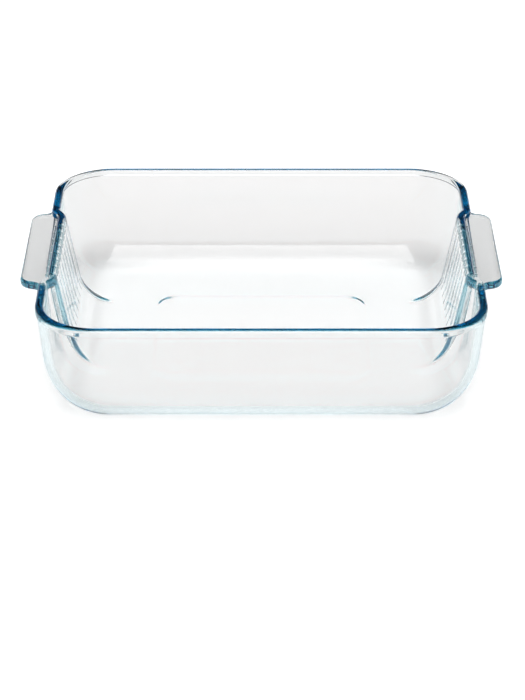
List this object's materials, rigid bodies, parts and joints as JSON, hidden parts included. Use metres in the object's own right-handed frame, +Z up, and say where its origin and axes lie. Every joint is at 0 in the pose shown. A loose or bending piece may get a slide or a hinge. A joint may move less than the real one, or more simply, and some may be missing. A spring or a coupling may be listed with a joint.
{
  "type": "lasagna dish",
  "caption": "Rectangular clear glass lasagna dish with round corners, a beaded rim, a flat lug handle over a ribbed hand recess at each end, and a shallow panel in its underside.",
  "frame": {"origin": "centre of the dish in plan, on the surface that the dish stands on", "axes": "+X along the dish from the left handle to the right handle, +Y across the dish towards its back, +Z up out of the mouth"},
  "size_m": [0.29, 0.238, 0.066],
  "materials": {
    "glass": "clear, fire-polished"
  },
  "bodies": {
    "root": {"basin": "glass", "rim": "glass", "left_handle": "glass", "right_handle": "glass", "left_grip_ribs": "glass", "right_grip_ribs": "glass", "base_ring": "glass"}
  },
  "joints": []
}
